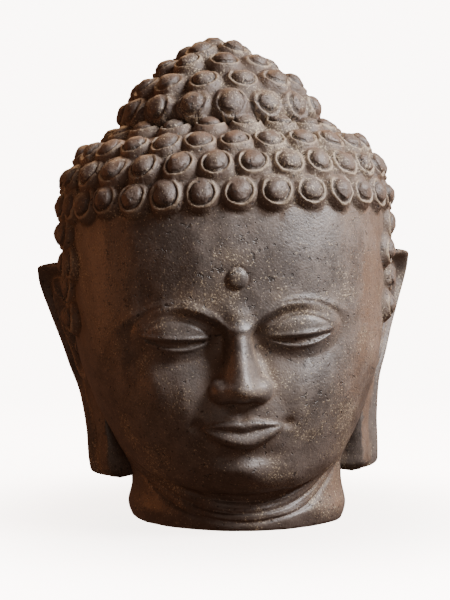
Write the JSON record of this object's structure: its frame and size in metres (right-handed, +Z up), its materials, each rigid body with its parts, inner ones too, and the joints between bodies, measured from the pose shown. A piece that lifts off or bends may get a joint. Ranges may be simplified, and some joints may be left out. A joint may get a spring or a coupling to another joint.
{
  "type": "stone buddha head",
  "caption": "Carved stone head of the Buddha with snail-curl hair, skull bump, long ear lobes and a short creased neck, cut flat below so that it stands on a shelf or plinth.",
  "frame": {"origin": "middle of the flat underside of the neck, on the floor", "axes": "+Z up through the tip of the skull bump, the face looks along -Y, +X is to the head's left ear"},
  "size_m": [0.3387, 0.3283, 0.42],
  "materials": {
    "stone": "hand-smoothed dark volcanic stone, satin, with worn curls and dust in the grooves"
  },
  "bodies": {
    "root": {"buddha_head": "stone"}
  },
  "joints": []
}
